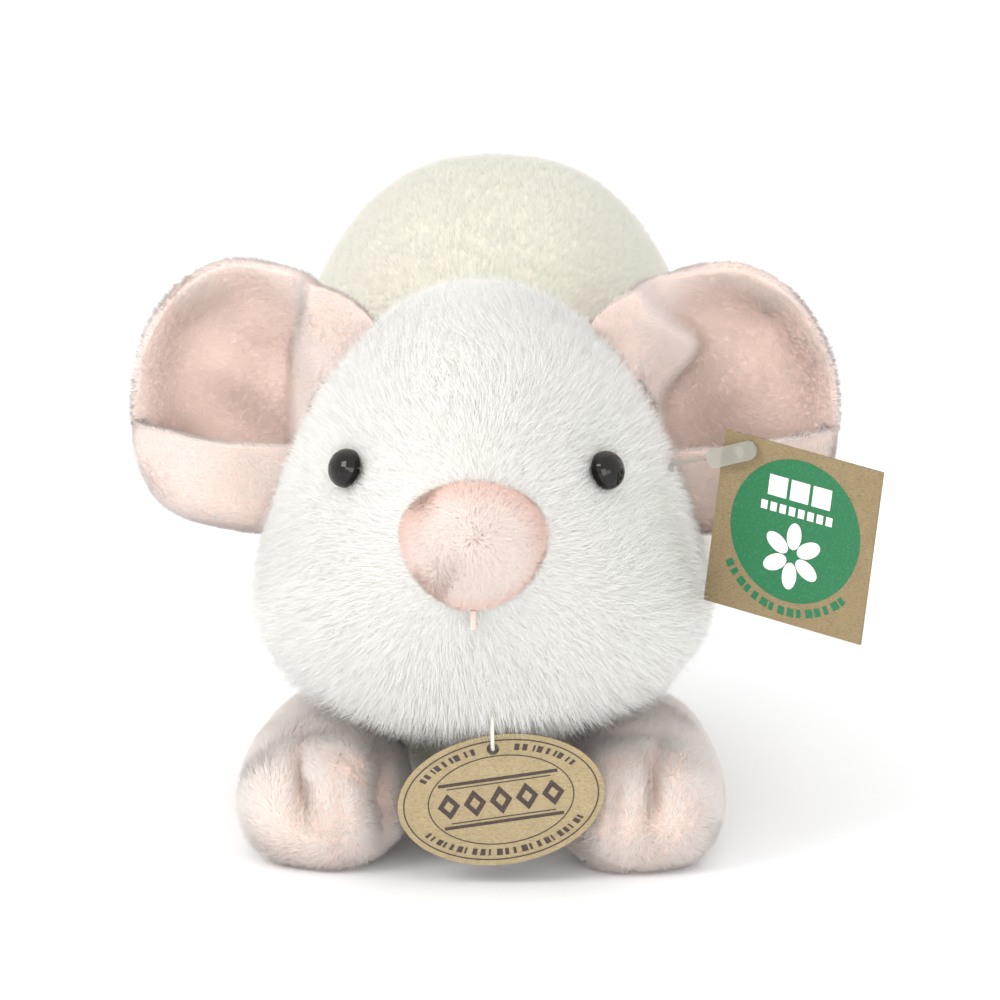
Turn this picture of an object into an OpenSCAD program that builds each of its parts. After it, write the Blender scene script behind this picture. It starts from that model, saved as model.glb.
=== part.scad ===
// Plush mouse: a soft toy that lies on its belly, with its face towards -Y.
// Origin: centre of the flat belly, on the surface that the toy lies on. Millimetres, +Z up.

/* [Body] */
// Half width of the body at its widest
body_half = 49; // [48:0.5:50]
// Height of the top of the back
back_top = 135.5; // [130:0.5:138]
// Far end of the rump
rump_y = 90; // [84:1:96]
// Plane where the head is sewn to the body
neck_y = -24; // [-26:0.5:-22]

/* [Head] */
// Half width across the cheeks
cheek_half = 47; // [44:0.5:50]
// Height of the crown of the head
crown_top = 120.5; // [116:0.5:122]
// Height of the chin above the floor
chin_z = 31; // [31:0.5:34]
// Front of the muzzle, under the nose pad
muzzle_y = -94; // [-98:0.5:-90]

/* [Cloth] */
// Thickness of the plush cloth with its backing
cloth_t = 1.6; // [1:0.1:2]
// Gap between one piece and the next
gap = 0.3; // [0.2:0.05:0.5]

/* [Eyes and nose] */
// Radius of the glossy dome of an eye
eye_r = 4.1; // [3.5:0.1:5]
// Radius of the washer behind the cloth
washer_r = 6.5; // [5:0.5:7.5]
// Half width of the nose pad
nose_half = 15; // [13:0.5:17]
// Half height of the nose pad
nose_half_z = 13; // [11:0.5:14]
// How far the nose pad stands forward of the muzzle
nose_depth = 6; // [4:0.5:7]

/* [Ears] */
// Half height of an ear
ear_half_z = 29; // [25:0.5:31]
// Reach of an ear from its root to its rim
ear_reach = 38; // [34:0.5:40]
// How deep the ear is cupped
ear_cup = 8; // [5:0.5:9]
// Thickness of one layer of ear cloth
ear_t = 1.3; // [1:0.1:1.5]

/* [Paws and feet] */
// Front of the front paws
paw_front = -74.5; // [-76:0.5:-72]
// Distance from the middle plane to the middle of a front paw
paw_x = 33; // [32:0.5:34]
// Half width of a front paw
paw_half = 17.5; // [15:0.5:17.5]
// Distance from the middle plane to the middle of a hind foot
foot_x = 37; // [37:0.5:39.5]
// Half width of a hind foot
foot_half = 7; // [6:0.5:7]

/* [Tail] */
// Radius of the tail at its root
tail_root_r = 4.2; // [3.5:0.1:4.5]
// Radius of the tail at its tip
tail_tip_r = 2.4; // [2:0.1:3]

/* [Tags] */
// Width of the oval card tag
oval_w = 43.5; // [38:0.5:45]
// Height of the oval card tag
oval_h = 28; // [25:0.5:29]
// Side of the square card tag
square_side = 37.5; // [34:0.5:38]
// Thickness of the card
card_t = 0.6; // [0.4:0.1:0.8]

/* [Hidden] */

pile_white = "#F3F2EC";
pile_cream = "#EDEBDC";
velboa_pink = "#F0CFC6";
fibre = "#F7F7F4";
card = "#BC9F73";

around = 32;        // points around a section of the body or the head
body_powers = [0.82, 1, 0];
head_powers = [1, 0.98, 0.1];
paw_powers = [0.95, 0.88, 0];
fine = 48;          // facets of a round part

// A section of a soft form: y, half width, underside, height of the widest place, top.
body_sections = [
    [neck_y, body_half * 0.72, 7, 48, back_top - 24],
    [-12, body_half * 0.85, 0, 46, back_top - 14],
    [6, body_half * 0.95, -2, 45, back_top - 5],
    [26, body_half, -2, 45, back_top],
    [46, body_half * 0.97, -2, 44, back_top - 4],
    [63, body_half * 0.84, 1, 42, back_top - 20],
    [77, body_half * 0.60, 8, 38, back_top - 46],
    [rump_y - 4, body_half * 0.33, 18, 35, 60],
    [rump_y, body_half * 0.13, 28, 34, 41],
];
head_sections = [
    [muzzle_y, 8, 71, 79, 86],
    [muzzle_y + 3, 17, 55, 74, crown_top - 25],
    [muzzle_y + 9, cheek_half * 0.59, 41, 66, crown_top - 17],
    [muzzle_y + 19, cheek_half * 0.82, chin_z + 3, 58, crown_top - 8],
    [muzzle_y + 31, cheek_half * 0.96, chin_z, 55, crown_top - 2],
    [muzzle_y + 44, cheek_half, chin_z, 54, crown_top],
    [neck_y - 12, cheek_half * 0.96, chin_z + 3, 56, crown_top - 3],
    [neck_y, cheek_half * 0.84, chin_z + 8, 60, crown_top - 12],
];
paw_sections = [
    [paw_front, 5, 7, 11, 16],
    [paw_front + 2.5, 11, 2, 11, 21],
    [paw_front + 8, paw_half * 0.93, 0, 11, 25],
    [paw_front + 17, paw_half, 0, 12, 27.5],
    [paw_front + 28, paw_half * 0.97, 0, 13, 28.5],
    [paw_front + 38, paw_half * 0.88, 0, 13, 28.5],
    [neck_y - 1, paw_half * 0.8, 1, 13, 28],
];
foot_sections = [
    [2, 3, 2.5, 4.5, 6.5],
    [4, foot_half * 0.75, 0.5, 4.5, 8],
    [10, foot_half, 0, 4.5, 9],
    [24, foot_half * 0.95, 0, 4.5, 9],
    [38, foot_half * 0.8, 0, 4.5, 8],
    [46, 3, 1.5, 4.5, 6.5],
];

// Smooth value between listed ones (Catmull-Rom), at place s along the list.
function smooth_at(list, s) =
    let(last = len(list) - 1, i = min(floor(s), last - 1), f = s - i,
        a = list[max(i - 1, 0)], b = list[i], c = list[i + 1], d = list[min(i + 2, last)])
    0.5 * (2 * b + (c - a) * f + (2 * a - 5 * b + 4 * c - d) * f * f + (3 * b - a - 3 * c + d) * f * f * f);

function power(v, p) = sign(v) * pow(abs(v), p);

// One ring of a soft form: section sec, at each of angles, drawn in by inset on all sides.
// mid_y and half_y are the middle and the half length of the form, which draw its ends in too.
// powers holds one number for the upper half and one for the lower: 1 is an ellipse, less is squarer.
// Its third number says how much the shoulders of the upper half are drawn in.
function ring(sec, angles, inset, mid_y, half_y, dx, powers) =
    let(y = mid_y + (sec[0] - mid_y) * (1 - inset / half_y))
    [for (a = angles)
        let(up = sin(a) >= 0, reach = up ? sec[4] - inset - sec[3] : sec[3] - sec[2] - inset,
            square_off = up ? powers[0] : powers[1], narrow = up ? 1 - powers[2] * abs(sin(2 * a)) : 1)
        [dx + (sec[1] - inset) * narrow * power(cos(a), square_off), y,
         max(inset, sec[3] + reach * power(sin(a), square_off))]];

// All rings of a form, with two steps between listed sections.
function rings(sections, angles, inset, dx, powers) =
    let(n = len(sections), steps = 2 * (n - 1), y0 = sections[0][0], y1 = sections[n - 1][0])
    [for (k = [0:steps])
        ring(smooth_at(sections, k / 2), angles, inset, (y0 + y1) / 2, (y1 - y0) / 2, dx, powers)];

function all_angles(n) = [for (k = [0:n - 1]) 360 * k / n];
function span(a0, a1, n) = [for (k = [0:n]) a0 + (a1 - a0) * k / n];
function flat(list) = [for (row = list) each row];

// Faces that join ring k to ring k + 1 of a grid of m points a ring; turn reverses them.
function skin_faces(rows, m, closed, start, turn) =
    [for (i = [0:rows - 2], j = [0:(closed ? m - 1 : m - 2)])
        let(j2 = (j + 1) % m, a = start + i * m + j, b = start + i * m + j2,
            c = start + (i + 1) * m + j2, d = start + (i + 1) * m + j)
        each (turn ? [[a, c, b], [a, d, c]] : [[a, b, c], [a, c, d]])];

// A closed form: rings capped at both ends.
module solid_form(grid) {
    m = len(grid[0]);
    n = len(grid);
    polyhedron(flat(grid), concat(
        skin_faces(n, m, true, 0, true),
        [[for (j = [0:m - 1]) j]],
        [[for (j = [m - 1:-1:0]) (n - 1) * m + j]]));
}

// A cup of cloth: an outer and an inner form, capped at the first ring and open at the last.
module cup(outer, inner) {
    m = len(outer[0]);
    n = len(outer);
    polyhedron(concat(flat(outer), flat(inner)), concat(
        skin_faces(n, m, true, 0, true),
        skin_faces(n, m, true, n * m, false),
        [[for (j = [0:m - 1]) j]],
        [[for (j = [m - 1:-1:0]) n * m + j]],
        [for (j = [0:m - 1]) let(j2 = (j + 1) % m, e = (n - 1) * m, f = e + n * m)
            each [[e + j, f + j, f + j2], [e + j, f + j2, e + j2]]]));
}

// A panel of cloth: an outer and an inner open grid, joined along all four edges.
module panel(outer, inner) {
    m = len(outer[0]);
    n = len(outer);
    s = n * m;
    e = (n - 1) * m;
    polyhedron(concat(flat(outer), flat(inner)), concat(
        skin_faces(n, m, false, 0, true),
        skin_faces(n, m, false, s, false),
        [for (j = [0:m - 2]) each [[j, j + 1, s + j + 1], [j, s + j + 1, s + j]]],
        [for (j = [0:m - 2]) each [[e + j, s + e + j + 1, e + j + 1], [e + j, s + e + j, s + e + j + 1]]],
        [for (i = [0:n - 2]) let(a = i * m, b = a + m) each [[a, s + b, b], [a, s + a, s + b]]],
        [for (i = [0:n - 2]) let(a = i * m + m - 1, b = a + m) each [[a, b, s + b], [a, s + b, s + a]]]));
}

function body_rings(angles, inset) = rings(body_sections, angles, inset, 0, body_powers);
function head_rings(angles, inset) = rings(moved(head_sections), angles, inset, 0, head_powers);

module body_cloth(a0, a1, n) panel(
    body_rings(span(a0, a1, n), 0), body_rings(span(a0, a1, n), cloth_t));

module head_cloth(a0, a1, n) panel(
    head_rings(span(a0, a1, n), 0), head_rings(span(a0, a1, n), cloth_t));

// The head's sections stop a gap short of the neck plane.
function moved(sections) = [for (s = sections) [s[0] - gap, s[1], s[2], s[3], s[4]]];

// Seams run along the length of the body and the head, at these angles around them.
belly_a = 218;
chin_a = 212;
gusset_a = 62;
seam_a = 0.25;      // angle left open at each seam

module back_left_panel() color(pile_cream) body_cloth(90 + seam_a, belly_a - seam_a, 13);
module back_right_panel() color(pile_cream) body_cloth(180 - belly_a + seam_a, 90 - seam_a, 13);
module belly_panel() color(pile_cream) body_cloth(belly_a + seam_a, 540 - belly_a - seam_a, 10);

module head_left_panel() color(pile_white) head_cloth(180 - gusset_a + seam_a, chin_a - seam_a, 11);
module head_right_panel() color(pile_white) head_cloth(180 - chin_a + seam_a, gusset_a - seam_a, 11);
module head_gusset() color(pile_white) head_cloth(gusset_a + seam_a, 180 - gusset_a - seam_a, 6);
module chin_panel() color(pile_white) head_cloth(chin_a + seam_a, 540 - chin_a - seam_a, 12);

// A bag of plastic pellets lies low in the belly, inside a hollow of the filling.
bag_size = [34, 44, 16];
bag_start = [-bag_size[0] / 2, 2, 6];
module pellet_shape(grow) translate(bag_start - [grow, grow, grow])
    cube([bag_size[0] + 2 * grow, bag_size[1] + 2 * grow, bag_size[2] + 2 * grow]);

module pellet_bag() color("#D9D2C4") pellet_shape(0);

module body_filling() color(fibre) difference() {
    solid_form(body_rings(all_angles(around), cloth_t + gap));
    pellet_shape(gap);
}

module head_filling() color(fibre)
    solid_form(head_rings(all_angles(around), cloth_t + gap));

// A point on the outside of the body or the head, at place s along its sections and angle a.
function body_point(s, a, out) =
    ring(smooth_at(body_sections, s), [a], -out, (neck_y + rump_y) / 2, (rump_y - neck_y) / 2, 0, body_powers)[0];
function head_point(s, a, out) =
    ring(smooth_at(moved(head_sections), s), [a], -out, (muzzle_y + neck_y) / 2, (neck_y - muzzle_y) / 2,
        0, head_powers)[0];

// Turns its children's +Z to dir.
module along(dir) {
    length = norm(dir);
    rotate([0, acos(dir[2] / length), atan2(dir[1], dir[0])]) children();
}

// Hand stitches close the left belly seam at the rear, where the filling went in.
thread_r = 0.25;
module closing_stitches() color(pile_cream) for (k = [0:7]) {
    a = body_point(4.2 + k * 0.18, belly_a - 2, thread_r + 0.15);
    b = body_point(4.2 + k * 0.18, belly_a + 2, thread_r + 0.15);
    translate(a) along(b - a) cylinder(r = thread_r, h = norm(b - a), $fn = 24);
}

// Nose pad: a low dome of pile cloth over the front of the muzzle.
nose_z = 76.5;
nose_front = muzzle_y - gap - 0.2;
function nose_ring(t) =
    [for (a = all_angles(24))
        [nose_half * cos(t) * cos(a), nose_front - nose_depth * sin(t), nose_z + nose_half_z * cos(t) * sin(a)]];

module nose_pad() color(velboa_pink) solid_form([for (t = [85, 70, 55, 40, 25, 12, 0]) nose_ring(t)]);

module mouth_stitch() color("#DFA79B") translate([0, muzzle_y - 1, nose_z - nose_half_z - 4.5])
    cylinder(r = 0.6, h = 4, $fn = 24);

// Place and direction of an eye on the head: side is -1 on the left and 1 on the right.
eye_s = 2.7;
eye_a = 35;
eye_at = head_point(eye_s, eye_a, 0.3);
eye_out = cross(head_point(eye_s + 0.15, eye_a, 0) - head_point(eye_s - 0.15, eye_a, 0),
    head_point(eye_s, eye_a + 4, 0) - head_point(eye_s, eye_a - 4, 0));

module eye(side) color("#0E0C0B") translate([side * eye_at[0], eye_at[1], eye_at[2]])
    along([side * eye_out[0], eye_out[1], eye_out[2]]) rotate_extrude($fn = fine)
        polygon(concat([[0, -9], [2.1, -9], [2.1, 0], [eye_r, 0], [eye_r, 0.6]],
            [for (a = [15:15:90]) [eye_r * cos(a), 0.6 + 3.1 * sin(a)]]));

module eye_washer(side) color("#E8E8E4") translate([side * eye_at[0], eye_at[1], eye_at[2]])
    along([side * eye_out[0], eye_out[1], eye_out[2]]) translate([0, 0, -6.6]) difference() {
        cylinder(r = washer_r, h = 1.2, $fn = fine);
        translate([0, 0, -1]) cylinder(r = 2.2, h = 4, $fn = fine);
    }

module eye_left() eye(-1);
module eye_right() eye(1);
module eye_washer_left() eye_washer(-1);
module eye_washer_right() eye_washer(1);

// An ear is two cupped layers. Its outline is a long round one that is cut off at the root.
ear_root = [38.5, -36, 92.5];
ear_points = 36;
ear_root_lean = 13;   // how far the root line leans in towards the crown, degrees

// Point of the ear's mid surface: r from 0 at its middle to 1 at its rim, at angle a; out is a step back.
function ear_point(r, a, out) =
    let(mid = ear_reach * 0.47, u = max(0, mid + (ear_reach - mid) * r * cos(a)),
        v = ear_half_z * r * sin(a) * (0.95 + 0.05 * cos(a)),
        depth = ear_cup * (1 - r * r) - 3 + 4 * r * r * max(0, -cos(a)))
    [u, depth + out, v];

function ear_layer(out) =
    [for (i = [1:6]) [for (j = [0:ear_points - 1]) ear_point(i / 6, 360 * j / ear_points, out)]];

module ear_cloth(out) {
    front = ear_layer(out);
    back = ear_layer(out + ear_t);
    m = ear_points;
    s = 6 * m;
    polyhedron(
        concat(flat(front), flat(back), [ear_point(0, 0, out), ear_point(0, 0, out + ear_t)]),
        concat(
            skin_faces(6, m, true, 0, true),
            skin_faces(6, m, true, s, false),
            [for (j = [0:m - 1]) [2 * s, j, (j + 1) % m]],
            [for (j = [0:m - 1]) [2 * s + 1, s + (j + 1) % m, s + j]],
            [for (j = [0:m - 1]) let(j2 = (j + 1) % m, e = s - m, f = 2 * s - m)
                each [[e + j, f + j, f + j2], [e + j, f + j2, e + j2]]]));
}

module ear(side, out) mirror([side < 0 ? 1 : 0, 0, 0]) translate(ear_root)
    rotate([0, -ear_root_lean, 0]) ear_cloth(out);

module ear_left_lining() color("#F2D2C6") ear(-1, 0);
module ear_left_back() color("#F4DED6") ear(-1, ear_t + 0.2);
module ear_right_lining() color("#F2D2C6") ear(1, 0);
module ear_right_back() color("#F4DED6") ear(1, ear_t + 0.2);

paw_around = 24;
module paw_cover(side) color(velboa_pink) cup(
    rings(paw_sections, all_angles(paw_around), 0, side * paw_x, paw_powers),
    rings(paw_sections, all_angles(paw_around), cloth_t, side * paw_x, paw_powers));

module paw_fill(side) color(fibre)
    solid_form(rings(paw_sections, all_angles(paw_around), cloth_t + 0.2, side * paw_x, paw_powers));

module front_paw_left() paw_cover(-1);
module front_paw_right() paw_cover(1);
module paw_filling_left() paw_fill(-1);
module paw_filling_right() paw_fill(1);

// Thread that draws the toes in: a row of short stitches down the front of each paw, a little inwards.
module toe_thread(side) color("#DDA99C") for (k = [0:5]) {
    a = 90 + 12 * side;
    p = toe_point(side, 0.3 + 0.3 * k, a);
    q = toe_point(side, 0.45 + 0.3 * k, a);
    translate(p) along(q - p) cylinder(r = thread_r, h = norm(q - p), $fn = 24);
}
function toe_point(side, s, a) =
    ring(smooth_at(paw_sections, s), [a], -thread_r - 0.15, (neck_y - 1 + paw_front) / 2, (neck_y - 1 - paw_front) / 2,
        side * paw_x, paw_powers)[0];

module toe_stitches_left() toe_thread(-1);
module toe_stitches_right() toe_thread(1);

module foot_cover(side) color(velboa_pink) cup(
    rings(foot_sections, all_angles(20), 0, side * foot_x, paw_powers),
    rings(foot_sections, all_angles(20), 1.2, side * foot_x, paw_powers));

module foot_fill(side) color(fibre)
    solid_form(rings(foot_sections, all_angles(20), 1.4, side * foot_x, paw_powers));

module hind_foot_left() foot_cover(-1);
module hind_foot_right() foot_cover(1);
module foot_filling_left() foot_fill(-1);
module foot_filling_right() foot_fill(1);

// The tail runs down from the rump and lies on the floor in one loose bend.
tail_route = [
    [0, 92, 32], [0, 100, 27], [0, 109, 17], [1, 119, 8], [4, 131, 4.6],
    [10, 143, 4.2], [19, 154, 3.8], [30, 162, 3.4], [42, 166, 3.0], [54, 166, 2.6],
];

function unit(v) = v / norm(v);
function tail_ring(s, inset) =
    let(last = len(tail_route) - 1, p = smooth_at(tail_route, s),
        d = unit(smooth_at(tail_route, min(s + 0.1, last)) - smooth_at(tail_route, max(s - 0.1, 0))),
        side = unit(cross(d, [0, 0, 1])), up = cross(side, d),
        r = tail_root_r + (tail_tip_r - tail_root_r) * s / last - inset)
    [for (a = all_angles(12)) p + r * (cos(a) * side + sin(a) * up)];

function tail_rings(inset, s0, s1, n) = [for (k = [n:-1:0]) tail_ring(s0 + (s1 - s0) * k / n, inset)];

module tail_cover() color(velboa_pink) cup(
    tail_rings(0, 0, len(tail_route) - 1, 24), tail_rings(1.1, 0, len(tail_route) - 1.15, 24));
module tail_core() color(fibre) solid_form(tail_rings(1.3, 0.05, len(tail_route) - 1.3, 24));

// A blank label of woven tape, folded once and sewn into the rump.
module care_label() color("#F5F5F2") translate([9, rump_y - 5, 9.5])
    cube([0.4, 12, 8]);

// The oval tag hangs in front of the chest, on a loop that goes up through the chin.
oval_at = [5.2, -80, 18.7];
oval_tilt = 9;
oval_hole = [0, oval_h / 2 - 3];
hole_x = oval_at[0] - oval_hole[1] * sin(oval_tilt);
hole_z = oval_at[2] + oval_hole[1] * cos(oval_tilt);
module oval_tag() color(card) translate(oval_at) rotate([0, -oval_tilt, 0]) rotate([90, 0, 0])
    difference() {
        resize_oval() cylinder(r = oval_h / 2, h = card_t, center = true, $fn = 64);
        translate([oval_hole[0], oval_hole[1], 0]) cylinder(r = 1.3, h = 4, center = true, $fn = fine);
    }
module resize_oval() resize([oval_w, oval_h, card_t]) children();

loop_r = 6.3;
loop_back = 3;      // how far the middle of the loop lies behind the card
module oval_tag_loop() color("#EDEDE8")
    translate([hole_x, oval_at[1] + loop_back, hole_z + sqrt(loop_r * loop_r - loop_back * loop_back)])
        rotate([0, 90, 0]) rotate_extrude($fn = fine) translate([loop_r, 0]) circle(r = 0.4, $fn = 24);

// The square tag hangs by one corner from a plastic fastener pinned through the cheek.
pin_at = [54.4, -66, 90.2];
square_turn = 7.5;  // turn in its own plane, degrees
square_yaw = -29;   // turn about the vertical, degrees
corner_in = 4;
module square_tag() color(card) translate(pin_at)
    rotate([0, square_turn, square_yaw]) rotate([90, 0, 0])
    difference() {
        translate([-corner_in, corner_in - square_side, -card_t / 2])
            cube([square_side, square_side, card_t]);
        cylinder(r = 1.2, h = 4, center = true, $fn = fine);
    }

cheek_at = [40, -56, 85];
module tag_fastener() color("#E9EAE6") {
    back = pin_at + 2.4 * [-sin(square_yaw), cos(square_yaw), 0];
    run = cheek_at - back;
    translate(pin_at) rotate([0, 0, square_yaw]) {
        translate([0, -1.5, 0]) rotate([90, 0, 0]) linear_extrude(0.9) paddle_outline();
        translate([0, -2, 0]) rotate([-90, 0, 0]) cylinder(r = 0.4, h = 4.6, $fn = 24);
    }
    translate(back) along(run) cylinder(r = 0.4, h = norm(run), $fn = 24);
    translate(cheek_at) rotate([90, 0, 0]) cylinder(r = 0.6, h = 9, center = true, $fn = 24);
}
module paddle_outline() rotate(18) union() {
    translate([-5, 0]) circle(r = 2, $fn = 32);
    translate([-5, -2]) square([8, 4]);
    translate([3, 0]) circle(r = 2, $fn = 32);
}

back_left_panel();
back_right_panel();
belly_panel();
body_filling();
pellet_bag();
closing_stitches();
head_left_panel();
head_right_panel();
head_gusset();
chin_panel();
head_filling();
nose_pad();
mouth_stitch();
eye_left();
eye_right();
eye_washer_left();
eye_washer_right();
ear_left_lining();
ear_left_back();
ear_right_lining();
ear_right_back();
front_paw_left();
front_paw_right();
paw_filling_left();
paw_filling_right();
toe_stitches_left();
toe_stitches_right();
hind_foot_left();
hind_foot_right();
foot_filling_left();
foot_filling_right();
tail_cover();
tail_core();
care_label();
oval_tag();
oval_tag_loop();
square_tag();
tag_fastener();
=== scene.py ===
# %% [markdown]
# # A plush mouse
# A soft toy is cloth, filling and a few hard bits. The cloth here is plush: a knitted backing with
# thousands of upright fibres, called the pile. The pile is what the eye sees, so most of this lesson
# is about growing it: long and white on the head, short and cream on the body, and very short and
# pink on the ears, nose, paws, feet and tail. The frame comes first, and it never moves.

# %% Load the frame
import math

import bpy
import numpy as np
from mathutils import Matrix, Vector
from mathutils.bvhtree import BVHTree
from mathutils.kdtree import KDTree


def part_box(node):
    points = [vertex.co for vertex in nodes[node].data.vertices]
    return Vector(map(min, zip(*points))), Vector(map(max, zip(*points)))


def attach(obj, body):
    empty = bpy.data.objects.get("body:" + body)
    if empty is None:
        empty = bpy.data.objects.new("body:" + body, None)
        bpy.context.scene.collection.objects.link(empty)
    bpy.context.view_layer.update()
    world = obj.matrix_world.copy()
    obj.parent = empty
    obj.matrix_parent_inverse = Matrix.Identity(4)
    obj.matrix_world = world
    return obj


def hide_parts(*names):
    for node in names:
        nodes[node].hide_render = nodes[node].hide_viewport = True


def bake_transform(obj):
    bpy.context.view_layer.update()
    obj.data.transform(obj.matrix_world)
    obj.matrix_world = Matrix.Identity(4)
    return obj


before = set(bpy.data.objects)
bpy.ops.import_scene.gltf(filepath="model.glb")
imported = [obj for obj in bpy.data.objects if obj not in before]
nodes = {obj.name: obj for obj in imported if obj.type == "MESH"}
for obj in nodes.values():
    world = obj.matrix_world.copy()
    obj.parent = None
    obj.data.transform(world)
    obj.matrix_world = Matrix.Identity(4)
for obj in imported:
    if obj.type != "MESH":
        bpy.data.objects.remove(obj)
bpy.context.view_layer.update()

MM = 0.001
scene = bpy.context.scene

# %% [markdown]
# ## Camera
# A product shot of a small toy is taken from well back with a long lens, so the face isn't stretched
# towards the lens. The camera looks down a little, which shows the back rising behind the head.

# %% Camera
AIM = Vector((3.5, -40, 73.3)) * MM
DISTANCE = 1.5
VIEW_WIDTH = 0.2121
SENSOR_MM = 36
azimuth = math.radians(2.1)
elevation = math.radians(13.3)
to_camera = Vector((math.sin(azimuth) * math.cos(elevation),
                    -math.cos(azimuth) * math.cos(elevation), math.sin(elevation)))
camera = bpy.data.objects.new("camera", bpy.data.cameras.new("camera"))
camera.data.sensor_width = SENSOR_MM
camera.data.lens = SENSOR_MM * DISTANCE / VIEW_WIDTH
camera.data.clip_start = 0.05
camera.location = AIM + to_camera * DISTANCE
camera.rotation_euler = (-to_camera).to_track_quat("-Z", "Y").to_euler()
scene.collection.objects.link(camera)
scene.camera = camera
print("lens", round(camera.data.lens, 1), "mm at", DISTANCE, "m")

# %% [markdown]
# ## Light and floor
# White plush needs soft light from several sides. The key light is large and stands to the left, a
# weaker one fills from the right, one overhead lights the back, and a broad one in front lifts the
# pink parts that lie in the shade of the head. The floor is so well lit that it comes out white, apart
# from the soft shadow under the toy.

# %% Light and floor
scene.view_settings.view_transform = "Standard"
scene.view_settings.exposure = 0.14
world = bpy.data.worlds.new("studio")
world.use_nodes = True
world.node_tree.nodes["Background"].inputs["Color"].default_value = (1.0, 0.995, 0.985, 1)
world.node_tree.nodes["Background"].inputs["Strength"].default_value = 1.02
scene.world = world
LIGHT_AIM = Vector((0, 0, 0.06))


def softbox(name, place, size, watts, colour):
    """A rectangular light that faces the toy. Its place and size are in metres."""
    data = bpy.data.lights.new(name, "AREA")
    data.shape = "RECTANGLE"
    data.size = size[0]
    data.size_y = size[1]
    data.energy = watts
    data.color = colour
    light = bpy.data.objects.new(name, data)
    light.location = place
    toward = LIGHT_AIM - Vector(place)
    light.rotation_euler = toward.to_track_quat("-Z", "Y").to_euler()
    scene.collection.objects.link(light)


softbox("key_light", (-0.8, -0.7, 0.8), (0.5, 0.5), 4.5, (1.0, 0.985, 0.96))
softbox("fill_light", (0.9, -0.9, 0.35), (0.4, 0.4), 0.8, (0.95, 0.98, 1.0))
softbox("top_light", (0.0, 0.35, 1.1), (0.8, 0.8), 0.5, (1.0, 1.0, 1.0))
softbox("front_light", (0.1, -1.25, 0.22), (0.8, 0.8), 5.5, (1.0, 0.99, 0.97))

FLOOR_HALF = 3
floor_mesh = bpy.data.meshes.new("floor")
floor_mesh.from_pydata([(x * FLOOR_HALF, y * FLOOR_HALF, 0) for x, y in ((-1, -1), (1, -1), (1, 1), (-1, 1))],
                       [], [(0, 1, 2, 3)])
floor = bpy.data.objects.new("floor", floor_mesh)
scene.collection.objects.link(floor)

# %% [markdown]
# ## Colours and nodes
# Hex colours are sRGB, and shaders work in linear light, so one function turns one into the other.
# A second small function adds a node, sets it and links it.

# %% Colour and node helpers


def linear(hex_colour):
    """An sRGB hex colour as linear red, green, blue and alpha."""
    parts = [int(hex_colour[i:i + 2], 16) / 255 for i in (1, 3, 5)]
    return tuple(c / 12.92 if c <= 0.04045 else ((c + 0.055) / 1.055) ** 2.4 for c in parts) + (1.0,)


def add(tree, kind, settings=None, links=None):
    """Adds a node. settings are its own properties or its sockets' values, links feed its sockets."""
    node = tree.nodes.new(kind)
    for key, value in (settings or {}).items():
        if isinstance(key, str) and hasattr(node, key):
            setattr(node, key, value)
        else:
            node.inputs[key].default_value = value
    for socket, source in (links or {}).items():
        tree.links.new(source, node.inputs[socket])
    return node


def new_material(name, **principled):
    """A material with one Principled shader, whose sockets are set by name."""
    material = bpy.data.materials.new(name)
    material.use_nodes = True
    shader = material.node_tree.nodes["Principled BSDF"]
    for key, value in principled.items():
        shader.inputs[key.replace("_", " ")].default_value = value
    return material, material.node_tree, shader


floor_material, _, floor_shader = new_material("matte_paper_sweep", Roughness=1.0)
floor_shader.inputs["Base Color"].default_value = linear("#F7F8FA")
floor_shader.inputs["Specular IOR Level"].default_value = 0.0
floor.data.materials.append(floor_material)

# %% [markdown]
# ## Pile materials
# Each fibre of the pile carries two numbers in its texture map: across, how deep or light its colour
# is, and along, the way from its root to its tip. The colour comes from those two alone. Roots are
# darker, because the fibres stand so close that little light reaches them, and tips catch the light.
# Polyester fibre is satin, so it has a soft sheen at grazing angles.

# %% Pile materials


def pile_material(name, deep, light, root, sheen=0.25, roughness=0.75):
    """deep and light are the colours of the deepest and the palest fibre, and root is at the backing."""
    material, tree, shader = new_material(name, Roughness=roughness)
    uv = add(tree, "ShaderNodeUVMap", {"uv_map": "OFBake"})
    parts = add(tree, "ShaderNodeSeparateXYZ", links={0: uv.outputs["UV"]})
    tone = add(tree, "ShaderNodeMix", {"data_type": "RGBA"}, {0: parts.outputs["X"]})
    tone.inputs["A"].default_value = linear(deep)
    tone.inputs["B"].default_value = linear(light)
    rise = add(tree, "ShaderNodeMapRange", {"From Min": 0.0, "From Max": 0.55}, {"Value": parts.outputs["Y"]})
    full = add(tree, "ShaderNodeMix", {"data_type": "RGBA"}, {0: rise.outputs["Result"]})
    full.inputs["A"].default_value = linear(root)
    tree.links.new(tone.outputs["Result"], full.inputs["B"])
    tree.links.new(full.outputs["Result"], shader.inputs["Base Color"])
    shader.inputs["Specular IOR Level"].default_value = 0.25
    shader.inputs["Sheen Weight"].default_value = sheen
    shader.inputs["Sheen Roughness"].default_value = 0.5
    return material


# White plush is nearly even in colour. Velboa is clipped, and its pale tips on a deeper pile make it
# look brushed.
LONG_PILE = pile_material("long_white_plush", "#FAF9F3", "#FFFFFC", "#F7F5EC")
SHORT_PILE = pile_material("short_cream_plush", "#EFECDF", "#F8F5EA", "#EBE7D7")
VELBOA = pile_material("pink_velboa", "#FBDDD0", "#FFF8F3", "#FDEDE5")
LINING = pile_material("pink_velboa_lining", "#F8DCD0", "#FDF1EC", "#F8E0D6")
NOSE_PILE = pile_material("pink_nose_plush", "#F7D0C2", "#FDF2EC", "#F8DCD2")


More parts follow.
